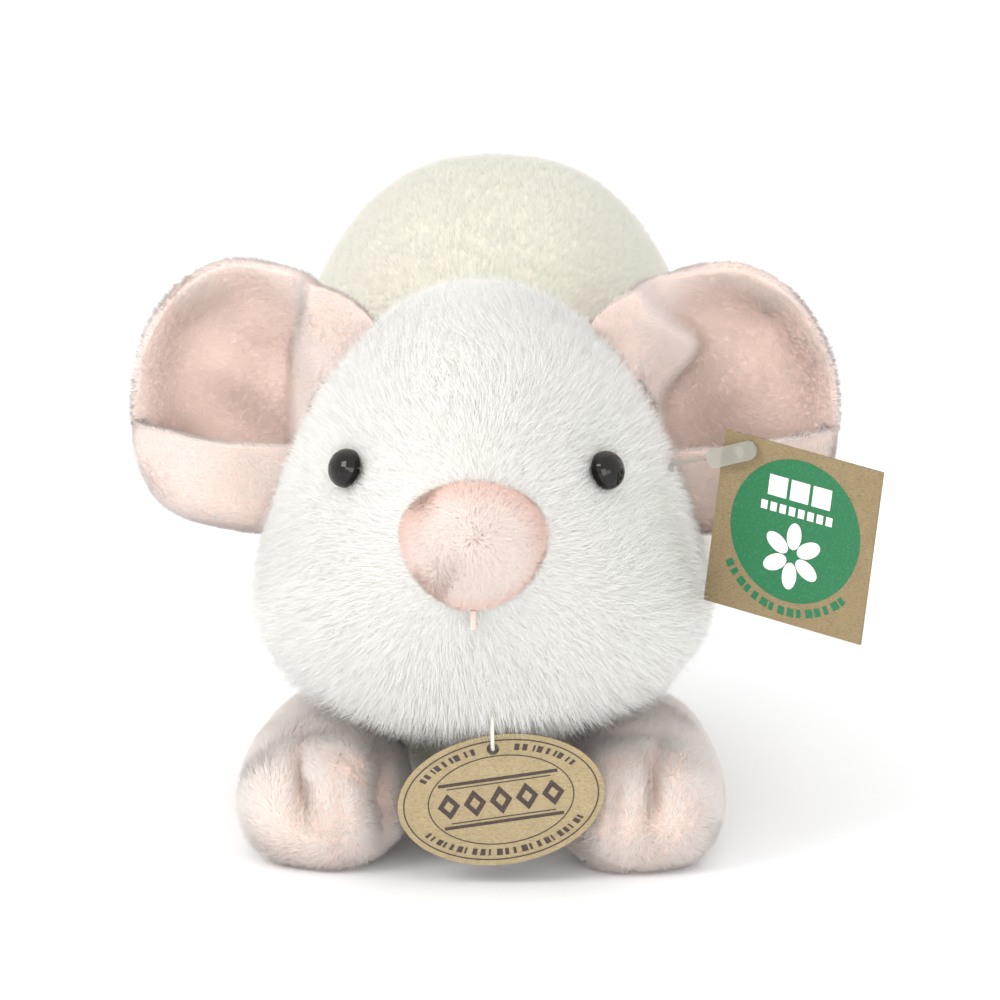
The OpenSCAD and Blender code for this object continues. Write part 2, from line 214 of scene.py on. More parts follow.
# The wave texture's rows come out twice as wide as the thread spacing, so that they show.
KNIT_WAVE = 6.3


def backing_material(name, colour, thread_mm=0.8):
    """Knitted backing cloth: dull, with rows of fine loops."""
    material, tree, shader = new_material(name, Roughness=0.9)
    place = add(tree, "ShaderNodeTexCoord")
    knit = add(tree, "ShaderNodeTexWave", {"Scale": 1 / (thread_mm * MM) / KNIT_WAVE, "Distortion": 1.5},
               {"Vector": place.outputs["Object"]})
    ramp = add(tree, "ShaderNodeMix", {"data_type": "RGBA"}, {0: knit.outputs["Fac"]})
    ramp.inputs["A"].default_value = [c * 0.93 for c in linear(colour)[:3]] + [1.0]
    ramp.inputs["B"].default_value = linear(colour)
    tree.links.new(ramp.outputs["Result"], shader.inputs["Base Color"])
    shader.inputs["Specular IOR Level"].default_value = 0.2
    return material


WHITE_BACKING = backing_material("white_knitted_backing", "#F8F6F0")
CREAM_BACKING = backing_material("cream_knitted_backing", "#EFEBDA")
PINK_BACKING = backing_material("pink_knitted_backing", "#F9DBCF", 0.3)
FIBRE = backing_material("polyester_fibre_filling", "#F4F4F2", 2.0)

# %% [markdown]
# ## Skins from the frame
# A skin is the outside of a stuffed form without its pile. The frame has the filling of each form as
# a closed solid. A voxel remesh turns a copy of it into an even net of small faces, smoothing takes
# off the facets, and pushing it outwards by the thickness of the cloth gives the skin.

# %% Mesh helpers
FLOOR_GAP_MM = 0.1


def coords(mesh):
    out = np.empty(len(mesh.vertices) * 3)
    mesh.vertices.foreach_get("co", out)
    return out.reshape(-1, 3)


def normals(mesh):
    out = np.empty(len(mesh.vertices) * 3)
    mesh.vertex_normals.foreach_get("vector", out)
    return out.reshape(-1, 3)


def set_coords(mesh, co):
    mesh.vertices.foreach_set("co", np.ascontiguousarray(co).ravel())
    mesh.update()


def unit(v):
    return v / np.maximum(np.linalg.norm(v, axis=-1, keepdims=True), 1e-12)


def link(name, mesh, material=None):
    """A new object in the scene, with one material or with its mesh's own."""
    piece = bpy.data.objects.new(name, mesh)
    scene.collection.objects.link(piece)
    if material:
        mesh.materials.clear()
        mesh.materials.append(material)
    return piece


def bake_modifiers(piece):
    """Applies the piece's modifiers to its mesh."""
    graph = bpy.context.evaluated_depsgraph_get()
    mesh = bpy.data.meshes.new_from_object(piece.evaluated_get(graph))
    piece.modifiers.clear()
    piece.data = mesh


def refine(piece):
    """One level of subdivision."""
    piece.modifiers.new("finer", "SUBSURF").levels = 1
    bake_modifiers(piece)


def skin_from(node, name, grow_mm, voxel_mm, smooth=6):
    """A smooth closed skin, grow_mm outside a CAD solid."""
    piece = link(name, nodes[node].data.copy())
    remesh = piece.modifiers.new("remesh", "REMESH")
    remesh.mode = "VOXEL"
    remesh.voxel_size = voxel_mm * MM
    soften = piece.modifiers.new("soften", "SMOOTH")
    soften.iterations = smooth
    soften.factor = 0.5
    bake_modifiers(piece)
    set_coords(piece.data, coords(piece.data) + normals(piece.data) * grow_mm * MM)
    return piece


def bump_at(co, centre_mm, radius_mm):
    """1 at a centre, falling smoothly to 0 at the radii given."""
    d = (co / MM - np.array(centre_mm)) / np.array(radius_mm)
    return np.exp(-1.5 * (d ** 2).sum(1))


def keep_above_floor(co):
    """Flattens what would sink into the floor, which is where a stuffed form rests."""
    co[:, 2] = np.maximum(co[:, 2], FLOOR_GAP_MM * MM)
    return co


def tree_of(mesh):
    co = coords(mesh)
    return BVHTree.FromPolygons([Vector(c) for c in co], [tuple(p.vertices) for p in mesh.polygons])


def lead_of_nearest(points, panel_nodes):
    """For each point, how much nearer the nearest CAD panel is than the next one."""
    trees = [tree_of(nodes[n].data) for n in panel_nodes]
    far = np.array([[t.find_nearest(Vector(p))[3] for t in trees] for p in points])
    order = np.sort(far, axis=1)
    return order[:, 1] - order[:, 0]


# %% [markdown]
# ## Body and head skins
# A stuffed form is round because the filling pushes its cloth outwards, and the seams hold it back. The
# cloth solver does just that: it blows the skin up from inside, while the points along the seams stay
# pinned. The seams run where the CAD panels meet, which is where two panels are about equally near. At
# this pressure the solver moves the skin by only a few hundredths of a millimetre.

# %% Inflating a skin
BODY_PANELS = ["back_left_panel", "back_right_panel", "belly_panel"]
HEAD_PANELS = ["head_left_panel", "head_right_panel", "head_gusset", "chin_panel"]
CLOTH_MM = 1.9
PRESSURE = 4.0
PINNED_FROM = 0.1
STEPS = 20


def seam_hold(mesh, panel_nodes, width_mm):
    """1 on a seam between panels, falling to 0 over a width."""
    lead = lead_of_nearest(coords(mesh), panel_nodes)
    return np.exp(-(lead / (width_mm * MM)) ** 2)


def inflate(piece, hold, cap_mm):
    """Blows a closed skin up from inside, its held points pinned. No point moves further than the cap."""
    start = coords(piece.data)
    group = piece.vertex_groups.new(name="seams")
    for i in np.flatnonzero(hold > PINNED_FROM):
        group.add([int(i)], float(hold[i]), "REPLACE")
    cloth = piece.modifiers.new("cloth", "CLOTH")
    cloth.settings.vertex_group_mass = "seams"
    cloth.settings.quality = 4
    cloth.settings.use_pressure = True
    cloth.settings.uniform_pressure_force = PRESSURE
    cloth.settings.effector_weights.gravity = 0
    for step in range(1, STEPS + 1):
        scene.frame_set(step)
    bake_modifiers(piece)
    piece.vertex_groups.clear()
    move = coords(piece.data) - start
    far = np.linalg.norm(move, axis=1, keepdims=True)
    set_coords(piece.data, start + move * np.minimum(1, cap_mm * MM / np.maximum(far, 1e-9)))
    scene.frame_set(1)
    print(piece.name, "swelled by", round(float(far.mean() / MM), 2), "mm, capped at", cap_mm)


# %% Body skin
body_skin = skin_from("body_filling", "body_skin", CLOTH_MM - 1.5, 3.0)
inflate(body_skin, seam_hold(body_skin.data, BODY_PANELS, 2.5), 2.0)
refine(body_skin)
set_coords(body_skin.data, keep_above_floor(coords(body_skin.data)))

# %% [markdown]
# The eyes are drawn in: the washer behind the cloth pulls each of them into a shallow socket, and that
# gives the face its cheeks. A crease runs down from the nose, where the mouth is stitched.

# %% Head skin
eye_low, eye_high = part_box("eye_right")
EYE = np.array((eye_low + eye_high) / 2) / MM
EYES = [np.array([side * EYE[0], EYE[1], EYE[2]]) for side in (-1, 1)]
nose_low, nose_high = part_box("nose_pad")
NOSE = np.array([0.0, nose_low.y / MM, (nose_low.z + nose_high.z) / 2 / MM])

head_skin = skin_from("head_filling", "head_skin", CLOTH_MM - 1.3, 2.6)
inflate(head_skin, seam_hold(head_skin.data, HEAD_PANELS, 2.2), 1.8)
refine(head_skin)
co = coords(head_skin.data)
out = normals(head_skin.data)
push = np.zeros(len(co))
for side, eye in zip((-1, 1), EYES):
    push -= 1.8 * bump_at(co, eye, [9, 9, 8])
    push += 2.0 * bump_at(co, [side * 15, -84, 56], [13, 16, 14])
push -= 1.3 * bump_at(co, [0, -88, 60], [2.6, 12, 8])
set_coords(head_skin.data, co + out * push[:, None] * MM)
print("skins", len(body_skin.data.vertices), len(head_skin.data.vertices))

# %% [markdown]
# ## Growing pile
# Real pile is far too fine to model fibre by fibre, so each strand here stands for a small bundle: a
# thin three-sided spike that bends once. The strands start at random points of the skin, lean the way
# the cloth was brushed, and gather into little tufts at their tips. Their shading normals are mostly
# the skin's, so the coat takes the light like the soft surface it is, and not like a bed of needles.

# %% Growing pile
MOST_TRIANGLES = 190000
ROOT_MM = 0.25
PILE_FLOOR_MM = 0.15
TURN = 6.283


def triangles_of(mesh):
    mesh.calc_loop_triangles()
    out = np.empty(len(mesh.loop_triangles) * 3, dtype=np.int64)
    mesh.loop_triangles.foreach_get("vertices", out)
    return out.reshape(-1, 3)


def scatter(mesh, count, density, rng):
    """Random roots on a skin: points and smooth normals. density says how thick the pile is."""
    co, no, tri = coords(mesh), normals(mesh), triangles_of(mesh)
    corner = co[tri]
    area = np.linalg.norm(np.cross(corner[:, 1] - corner[:, 0], corner[:, 2] - corner[:, 0]), axis=1)
    weight = area * density(corner.mean(1), no[tri].mean(1))
    pick = rng.choice(len(tri), count, p=weight / weight.sum())
    a, b = rng.random(count), rng.random(count)
    over = a + b > 1
    a[over], b[over] = 1 - a[over], 1 - b[over]
    w = np.stack([1 - a - b, a, b], 1)[:, :, None]
    return (co[tri[pick]] * w).sum(1), unit((no[tri[pick]] * w).sum(1))


def wander(points, size_mm, rng, waves=5):
    """A smooth random direction that changes over about size_mm."""
    out = np.zeros_like(points)
    for k in range(waves):
        turn = rng.normal(size=(3, 3)) / (size_mm * MM)
        phase = rng.random(3) * TURN
        out += np.sin(points @ turn + phase)
    return out / math.sqrt(waves)


def everywhere(points, out):
    return np.ones(len(points))


def grow(name, mesh, count, length_mm, width_mm, flow, material, body, seed,
         density=everywhere, lift=(65, 30), tuft_mm=1.6, pull=0.55, tone=None, jitter=0.35,
         swirl=0.35, swirl_mm=9, joints=2, bodies=None, length_at=None):
    """Grows pile on a skin. flow is the way it's brushed, and lift its angle off the skin in degrees, at
    the root and at the tip. tuft_mm and pull say how wide the tufts are and how much they gather."""
    rng = np.random.default_rng(seed)
    root, out = scatter(mesh, count, density, rng)
    way = flow(root, out) + swirl * wander(root, swirl_mm, rng) + jitter * rng.normal(size=root.shape)
    way = unit(way - out * (way * out).sum(1, keepdims=True))
    long = length_mm * MM * (0.75 + 0.4 * rng.random(count))
    if length_at is not None:
        long = long * length_at(root, out)
    long = long[:, None]
    start, end = [math.radians(v) for v in lift]
    lean0 = way * math.cos(start) + out * math.sin(start)
    lean1 = way * math.cos(end) + out * math.sin(end)
    base = root - out * ROOT_MM * MM
    if joints == 2:
        rows = [base, base + lean0 * long * 0.5, base + lean0 * long * 0.5 + lean1 * long * 0.5]
    else:
        rows = [base, base + (lean0 + lean1) * long * 0.5]
    # Tips gather towards the nearest of some leading strands.
    leaders = rng.choice(count, max(8, int(count * min(0.5, 0.10 / tuft_mm))), replace=False)
    find = KDTree(len(leaders))
    for i, k in enumerate(leaders):
        find.insert(root[k], i)
    find.balance()
    chief = leaders[np.array([find.find(p)[1] for p in root])]
    tips = rows[-1] + pull * (rows[-1][chief] - rows[-1]) * rng.random((count, 1))
    if joints == 2:
        rows[1] = rows[1] + 0.4 * pull * (rows[1][chief] - rows[1])
    rows[-1] = tips
    for row in rows:
        row[:, 2] = np.maximum(row[:, 2], PILE_FLOOR_MM * MM)
    shade = rng.random(count)
    if tone is not None:
        shade = np.clip(tone(root, out) + 0.22 * (shade - 0.5), 0, 1)
    tri_each = 9 if joints == 2 else 3
    parts = max(1, math.ceil(count * tri_each / MOST_TRIANGLES))
    order = np.argsort(root[:, 1] + 0.35 * root[:, 2]) if parts > 1 else np.arange(count)
    for i, pick in enumerate(np.array_split(order, parts)):
        label = name if parts == 1 else f"{name}_{i + 1}"
        piece = strands(label, [r[pick] for r in rows], out[pick], way[pick], shade[pick],
                        width_mm * MM, material)
        if bodies is None:
            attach(piece, body)
        else:
            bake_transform(piece)
    print(name, count, "strands in", parts, "piece(s)")


def strands(name, rows, out, way, shade, width, material):
    """One mesh of three-sided spikes. rows are the strands' points from root to tip."""
    count, steps = len(out), len(rows) - 1
    side = unit(np.cross(way, out))
    verts, norm = [], []
    for k in range(steps):
        size = width * (0.5 if k == 0 else 0.42)
        for j in range(3):
            turn = 2 * math.pi * j / 3 + 0.5
            off = side * math.cos(turn) + out * math.sin(turn)
            verts.append(rows[k] + off * size)
            norm.append(unit(out * 0.9 + off * 0.35 + way * 0.15))
    verts.append(rows[-1])
    norm.append(unit(out * 0.9 + way * 0.3))
    per = 3 * steps + 1
    verts = np.stack(verts, 1).reshape(-1, 3)
    norm = np.stack(norm, 1).reshape(-1, 3)
    quads, tris = [], []
    for k in range(steps - 1):
        for j in range(3):
            quads.append([3 * k + j, 3 * k + (j + 1) % 3, 3 * k + 3 + (j + 1) % 3, 3 * k + 3 + j])
    top = 3 * (steps - 1)
    for j in range(3):
        tris.append([top + j, top + (j + 1) % 3, 3 * steps])
    pattern = np.array([i for face in quads + tris for i in reversed(face)])
    sizes = np.array([len(face) for face in quads + tris])
    first = np.arange(count)[:, None] * per
    corner = (first + pattern[None, :]).ravel()
    loops = np.tile(sizes, count)
    mesh = bpy.data.meshes.new(name)
    mesh.vertices.add(len(verts))
    mesh.vertices.foreach_set("co", verts.astype(np.float32).ravel())
    mesh.loops.add(len(corner))
    mesh.loops.foreach_set("vertex_index", corner.astype(np.int32))
    mesh.polygons.add(len(loops))
    mesh.polygons.foreach_set("loop_start", np.concatenate([[0], np.cumsum(loops)[:-1]]).astype(np.int32))
    mesh.polygons.foreach_set("use_smooth", np.ones(len(loops), dtype=bool))
    mesh.update(calc_edges=True)
    layer = mesh.uv_layers.new(name="OFBake")
    along = (pattern // 3) / steps
    u = np.repeat(0.03 + 0.94 * shade, len(pattern))
    v = np.tile(0.03 + 0.94 * along, count)
    layer.data.foreach_set("uv", np.stack([u, v], 1).astype(np.float32).ravel())
    mesh.normals_split_custom_set_from_vertices(norm.astype(np.float32))
    return link(name, mesh, material)


# %% [markdown]
# ## Head pile
# The head is brushed away from the nose, back over the cheeks and the crown. Its pile is the longest
# on the toy, and it hides the seams and the edges of the eyes. It is clipped shorter on the muzzle,
# and round the eyes it is combed out of the way.

# %% Head pile


def head_flow(points, out):
    way = unit(points - np.array([0, NOSE[1] + 4, NOSE[2] - 3]) * MM)
    way[:, 2] -= 0.15
    return unit(way)


def clear_of_face(points, out):
    """Thins the pile under the nose pad, over the eyes and where the head meets the body."""
    d = (points / MM - NOSE) / np.array([12.5, 12.0, 10.0])
    keep = np.where((d ** 2).sum(1) < 1, 0.0, 1.0) * np.where(points[:, 1] > -26 * MM, 0.15, 1.0)
    for eye in EYES:
        far = np.linalg.norm(points / MM - eye, axis=1)
        keep *= np.where(far < 4.3, 0.03, 1.0)
    return keep


def muzzle_length(points, out):
    far = np.linalg.norm(points / MM - NOSE, axis=1)
    return 0.5 + 0.5 * np.clip((far - 13) / 26, 0, 1)


grow("head_pile", head_skin.data, 400000, 5.6, 0.10, head_flow, LONG_PILE, "torso", 11,
     density=clear_of_face, lift=(52, 34), joints=1, tuft_mm=1.4, pull=0.38, jitter=0.22, swirl=0.35,
     length_at=muzzle_length)


def guard_length(points, out):
    """Longer hairs stand out of the coat, most of all under the chin."""
    p = points / MM
    chin = np.clip((48 - p[:, 2]) / 12, 0, 1) * np.clip((-48 - p[:, 1]) / 14, 0, 1)
    return muzzle_length(points, out) * (1 + 0.45 * chin)


grow("head_guard_hair", head_skin.data, 60000, 7.2, 0.105, head_flow, LONG_PILE, "torso", 13,
     density=clear_of_face, lift=(52, 34), joints=2, tuft_mm=1.8, pull=0.35, jitter=0.3, swirl=0.4,
     length_at=guard_length)

# %% [markdown]
# ## Body pile
# The body has a different cloth: short, dense and cream. It is brushed back from the neck to the tail.

# %% Body pile


def back_flow(points, out):
    return np.tile(np.array([0.0, 1.0, -0.25]), (len(points), 1))


def clear_of_floor(points, out):
    return np.where(points[:, 2] < 0.6 * MM, 0.0, 1.0)


grow("body_pile", body_skin.data, 300000, 3.0, 0.13, back_flow, SHORT_PILE, "torso", 12,
     density=clear_of_floor, lift=(50, 25), joints=1, tuft_mm=1.0, pull=0.3, jitter=0.2, swirl=0.2,
     swirl_mm=16)

# %% [markdown]
# ## Cloth and filling
# Under the pile are two more layers: the knitted backing, which is what the pile stands on, and the
# fibre filling inside it. A filling is the same form as its cloth, a little smaller.

# %% Cloth and filling


def as_cloth(piece, material, body, slot, *stands_for):
    piece.data.materials.clear()
    piece.data.materials.append(material)
    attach(piece, body)
    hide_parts(*stands_for)


def stuff(skin, name, body, node, inset_mm=2.0):
    """The filling of a skin, which stands for the CAD filling."""
    piece = link(name, skin.data.copy(), FIBRE)
    set_coords(piece.data, coords(piece.data) - normals(piece.data) * inset_mm * MM)
    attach(piece, body)
    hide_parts(node)


stuff(body_skin, "body_stuffing", "torso", "body_filling")
stuff(head_skin, "head_stuffing", "torso", "head_filling")
as_cloth(body_skin, CREAM_BACKING, "torso", "short_pile", *BODY_PANELS)
as_cloth(head_skin, WHITE_BACKING, "torso", "long_pile", *HEAD_PANELS)

# %% [markdown]
# ## Nose pad
# The nose is a small dome of pink pile cloth, wide at the top and narrower towards the mouth. Its pile
# swirls, so it looks like a raspberry close up: each tuft has a light tip and a deeper root.

# %% Nose pad
NOSE_HALF_WIDTH = 13.4
NOSE_HALF_HEIGHT = 11.6


def grid_mesh(name, grid, closed=False):
    """A mesh from a grid of points, rows by columns. closed joins the last column to the first."""
    rows, cols = grid.shape[:2]
    faces = []
    for i in range(rows - 1):
        for j in range(cols if closed else cols - 1):
            j2 = (j + 1) % cols
            faces.append((i * cols + j, i * cols + j2, (i + 1) * cols + j2, (i + 1) * cols + j))
    mesh = bpy.data.meshes.new(name)
    mesh.from_pydata(grid.reshape(-1, 3).tolist(), [], faces)
    mesh.polygons.foreach_set("use_smooth", np.ones(len(mesh.polygons), dtype=bool))
    mesh.update()
    return mesh


rise = np.radians(np.array([89, 80, 70, 60, 50, 40, 30, 20, 10, 0, -25]))[:, None]
around = np.radians(np.arange(0, 360, 7.5))[None, :]
wide = NOSE_HALF_WIDTH * (1 + 0.10 * np.sin(around))
nose_grid = np.stack([wide * np.cos(rise) * np.cos(around),
                      NOSE[1] + 6.2 - 5.4 * np.sin(rise) + 0 * around,
                      NOSE[2] + NOSE_HALF_HEIGHT * np.cos(rise) * np.sin(around)], 2)
nose_grid[..., 1] += 0.02 * nose_grid[..., 0] ** 2
nose_mesh = grid_mesh("nose_dome", nose_grid * MM, closed=True)
if normals(nose_mesh)[:60, 1].mean() > 0:
    nose_mesh.flip_normals()
nose_dome = link("nose_dome", nose_mesh, PINK_BACKING)
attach(nose_dome, "torso")
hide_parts("nose_pad")


def nose_flow(points, out):
    return unit(points - (NOSE + np.array([0, 0, 2])) * MM)


def nose_rim_shade(points, out):
    """Pale in the middle and deeper round the rim. The deeper rim is painted shade, where the seam draws the
    dome in.
    """
    d = (points / MM - NOSE)[:, [0, 2]] / np.array([NOSE_HALF_WIDTH, NOSE_HALF_HEIGHT])
    rim = np.clip(((d ** 2).sum(1) - 0.45) / 0.5, 0, 1)
    return 0.8 - 0.75 * rim


grow("nose_pile", nose_dome.data, 40000, 3.0, 0.15, nose_flow, NOSE_PILE, "torso", 21,
     lift=(66, 36), joints=2, tuft_mm=0.7, pull=0.5, jitter=0.35, swirl=0.9, swirl_mm=2.8, tone=nose_rim_shade)

# %% [markdown]
# ## Ears
# An ear is two layers of short pile, sewn round the rim and turned. Its lower edge folds up at the
# front into a deep lip, and its root is pleated: the inner edge stands forward as a lobe, and the rest
# steps back behind it into a bowl. The ear is made column by column, from the head outwards. Each
# column runs down from the upper rim, turns forward round the bottom, and comes up again to the lip.

# %% Ear shape
EAR_ROOT = np.array([38.5, -36.0, 92.5])
EAR_LEAN = math.radians(6)
EAR_MID = 14.0
LIP_AT = -7.5
LIP_R = 4.0
LIP_DEEP = 15.5
RIM_HIGH = 36


def soft_step(x):
    """0 well below zero, 1 well above it, and smooth between."""
    return 1 / (1 + np.exp(-np.clip(x, -40, 40)))


def ear_columns(columns=96):
    """Distance from the root, upper rim, bottom and length of the folded lip for every column."""
    t = np.linspace(0, 1, columns)
    u = -13.5 + 48.6 * (0.35 * t + 0.65 * np.sin(t * math.pi / 2))
    h = (u - EAR_MID) / np.where(u > EAR_MID, 22.4, 36.0)
    top = LIP_AT + RIM_HIGH * np.sqrt(np.maximum(0, 1 - np.abs(h) ** np.where(u > EAR_MID, 2.3, 4.0)))
    deep = LIP_DEEP * np.sqrt(np.maximum(0, 1 - (np.abs(u - 11.5) / np.where(u > 11.5, 21.0, 26.0)) ** 2.4))
    inner = u < -4
    low = np.where(inner, np.minimum(2 + 2 * (-4 - u), top), LIP_AT - deep)
    return u, top, low, np.where(inner, 0, deep)


def ear_grid(side, rows=(70, 18, 34)):
    """Points of the ear's middle surface, in millimetres in the frame, rows by columns."""
    u, top, low, lip = ear_columns()
    bend = LIP_R * (lip / LIP_DEEP) ** 0.7
    down, round_, up = [np.linspace(0, 1, n, endpoint=False)[:, None] for n in rows]
    up = np.append(up, [[1.0]], 0)
    v = np.concatenate([top - (top - low - bend) * down, low + bend - bend * np.sin(round_ * math.pi),
                        low + bend + np.maximum(0, lip - bend) * up], 0)
    turn = np.concatenate([0 * down + 0 * u, round_ * math.pi + 0 * u, math.pi + 0 * up + 0 * u], 0)
    turn = np.where(lip > 0, turn, 0)
    ahead = bend * (1 - np.cos(turn))
    ahead[-len(up):] -= 1.5 * up * (lip / LIP_DEEP)
    u = np.broadcast_to(u, v.shape)
    r = np.sqrt(((u - EAR_MID) / 22) ** 2 + ((v - 2) / 28) ** 2)
    bowl = 8.5 * soft_step((0.76 - r) / 0.10) + 1.5 * (1 - np.minimum(r, 1) ** 2)
    front = np.where(turn > math.pi / 2, 1.6 * np.sin(np.clip((u + 4) / 39, 0, 1) * math.pi), 0)
    if side < 0:
        tip = 2.0 + 1.2 * np.exp(-((v - 12) / 9) ** 2)
    else:
        tip = -2.0 + 10.0 * np.exp(-((v - 13) / 7.5) ** 2)
    lobe = 9.0 * soft_step((tip - u) / 0.6) * soft_step((v + 24) / 4)
    wave = 0.5 * np.sin(0.23 * u + 0.17 * v + side) + 0.3 * np.sin(0.41 * v - 0.2 * u)
    blend = np.clip(1 - turn / 1.2, 0, 1)
    back = (bowl - lobe) * blend + front + wave
    y = -ahead - 1.0 + back * np.cos(turn)
    z = v - back * np.sin(turn)
    place = np.stack([u * math.cos(EAR_LEAN) - z * math.sin(EAR_LEAN), y,
                      u * math.sin(EAR_LEAN) + z * math.cos(EAR_LEAN)], -1) + EAR_ROOT
    place[..., 0] *= side
    return place


def ear_layers(side, layers_mm):
    """The ear's grid, moved back by each of several distances along its own normal."""
    grid = ear_grid(side)
    normal = np.cross(np.gradient(grid, axis=1), np.gradient(grid, axis=0))
    normal *= -side
    for k in range(4):
        normal[1:-1] = 0.25 * (normal[:-2] + normal[2:]) + 0.5 * normal[1:-1]
        normal[:, 1:-1] = 0.25 * (normal[:, :-2] + normal[:, 2:]) + 0.5 * normal[:, 1:-1]
    normal = unit(normal)
    if normal[20:50, 30:60, 1].mean() < 0:
        normal = -normal
    return [grid + normal * mm for mm in layers_mm]


def outward(mesh):
    """Turns a closed surface over if its faces look inwards."""
    co, tri = coords(mesh), triangles_of(mesh)
    a, b, c = co[tri[:, 0]], co[tri[:, 1]], co[tri[:, 2]]
    if (a * np.cross(b, c)).sum() < 0:
        mesh.flip_normals()
        mesh.update()
    return mesh


def shell(name, near, far):
    """A closed layer between two grids."""
    first, last = (near[:1] + far[:1]) / 2, (near[-1:] + far[-1:]) / 2
    sheets = [np.concatenate([first, g, last], 0) for g in (near, far)]
    return outward(grid_mesh(name, np.concatenate([sheets[0], sheets[1][:, ::-1]], 1) * MM, closed=True))


def bounds_mm(mesh):
    co = coords(mesh) / MM
    return np.round(co.min(0), 1).tolist(), np.round(co.max(0), 1).tolist()


def ear_flow(points, out):
    side = np.sign(points[:, :1])
    return np.concatenate([0.75 * side, 0 * side, 0 * side + 0.1], 1)


def ear_hollow_shade(points, out):
    """Deep in the bowl and pale towards the rim. The deeper bowl is painted shade in the ear's hollow."""
    p = points / MM - EAR_ROOT * np.array([0, 1, 1])
    x = np.abs(p[:, 0]) - EAR_ROOT[0]
    u = x * math.cos(EAR_LEAN) + p[:, 2] * math.sin(EAR_LEAN)
    v = -x * math.sin(EAR_LEAN) + p[:, 2] * math.cos(EAR_LEAN)
    r = np.sqrt(((u - 13) / 23) ** 2 + ((v - 3) / 28) ** 2)
    bowl = soft_step((0.82 - r) / 0.08) * soft_step((p[:, 1] - 0.5) / 1.2) * (out[:, 1] < 0.2)
    return 0.85 - 0.75 * bowl


def clear_of_head(points, out):
    return np.where(np.abs(points[:, 0]) < 24 * MM, 0.3, 1.0)


# %% Ears
for side, word in ((-1, "left"), (1, "right")):
    body = f"ear_{word}"
    join = ("torso", body, (side * 0.035, -0.034, 0.0925), (side * 0.042, -0.034, 0.0925))
    front, middle, middle2, rear = ear_layers(side, (0.0, 1.15, 1.3, 2.4))
    for layer, near, far, node in (("lining", front, middle, f"{body}_lining"),
                                   ("back", middle2, rear, f"{body}_back")):
        piece = link(f"{body}_{layer}_cloth", shell(f"{body}_{layer}_cloth", near, far), PINK_BACKING)
        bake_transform(piece)
        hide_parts(node)
    whole = shell("whole", front, rear)
    print(body, bounds_mm(whole))
    grow(f"{body}_pile", whole, 150000, 1.8, 0.17, ear_flow, LINING, body, 31 + side,
         density=clear_of_head, lift=(48, 26), joints=1, tuft_mm=0.8, pull=0.2, jitter=0.3, swirl=0.5,
         swirl_mm=6, tone=ear_hollow_shade, bodies=join)
    bpy.data.meshes.remove(whole)

# %% [markdown]
# ## Front paws
# A paw is a stuffed tube of pink velboa, with its closed end forward. Stitches drawn through the end
# pull two grooves into it, and the cloth between them stands up as toes.

# %% Front paws
for side, word in ((-1, "left"), (1, "right")):
    low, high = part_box(f"front_paw_{word}")
    mid_x = (low.x + high.x) / 2 / MM
    tip_y = low.y / MM
    skin = skin_from(f"paw_filling_{word}", f"front_paw_{word}_cloth", 1.7, 1.3)
    co, out = coords(skin.data), normals(skin.data)
    outer, seam, inner = mid_x + 4.5 * side, mid_x - 3.5 * side, mid_x - 12.5 * side
    push = -4.0 * bump_at(co, [outer, tip_y + 4, 19], [2.2, 12, 10])
    push -= 3.2 * bump_at(co, [inner, tip_y + 7, 17], [2.6, 11, 11])
    push += 3.2 * bump_at(co, [seam, tip_y + 4, 13], [7.0, 9, 12])
    push += 1.4 * bump_at(co, [mid_x + 11 * side, tip_y + 8, 13], [5.5, 9, 12])
    push -= 1.3 * bump_at(co, [seam, tip_y + 1, 14], [0.9, 8, 9])
    push -= 1.8 * bump_at(co, [mid_x, tip_y + 16, 28], [15, 4.0, 6])
    set_coords(skin.data, keep_above_floor(co + out * push[:, None] * MM))
    stuff(skin, f"front_paw_{word}_stuffing", "torso", f"paw_filling_{word}", 1.5)
    as_cloth(skin, PINK_BACKING, "torso", "velboa_pink", f"front_paw_{word}")

    def paw_flow(points, out):
        return unit(points - np.array([mid_x, tip_y + 12, 6]) * MM) + np.array([0, 0.5, 0])

    # Painted shade: the pile is deeper in colour in the toe grooves, along the groove at the toe seam, and
    # towards the floor.
    def paw_painted_shade(points, out):
        dark = bump_at(points, [outer, tip_y + 4, 18], [2.6, 13, 12])
        dark += 0.8 * bump_at(points, [inner, tip_y + 7, 17], [2.6, 11, 11])
        dark += 0.7 * bump_at(points, [seam, tip_y + 1, 14], [1.0, 8, 10])
        floor_shade = np.clip((8 - points[:, 2] / MM) / 8, 0, 1)
        return 0.9 - 0.8 * np.clip(dark, 0, 1) - 0.3 * floor_shade

    grow(f"front_paw_{word}_pile", skin.data, 64000, 2.8, 0.18, paw_flow, VELBOA, "torso",
         41 + side, density=clear_of_floor, lift=(58, 34), joints=1, tuft_mm=1.0, pull=0.5, jitter=0.45,
         swirl=0.9, swirl_mm=5, tone=paw_painted_shade)

# %% [markdown]
# ## Hind feet and tail
# Both are narrow stuffed tubes of the same velboa. The feet stick out a little from under the belly,
# and the tail lies in one loose bend behind.

# %% Hind feet and tail
for word in ("left", "right"):
    skin = skin_from(f"foot_filling_{word}", f"hind_foot_{word}_cloth", 1.2, 0.9)
    set_coords(skin.data, keep_above_floor(coords(skin.data)))
    stuff(skin, f"hind_foot_{word}_stuffing", "torso", f"foot_filling_{word}", 1.2)
    as_cloth(skin, PINK_BACKING, "torso", "velboa_pink", f"hind_foot_{word}")
    grow(f"hind_foot_{word}_pile", skin.data, 14000, 1.7, 0.14, back_flow, VELBOA, "torso",
         51, density=clear_of_floor, lift=(50, 28), joints=1, tuft_mm=0.8, pull=0.3, jitter=0.4)

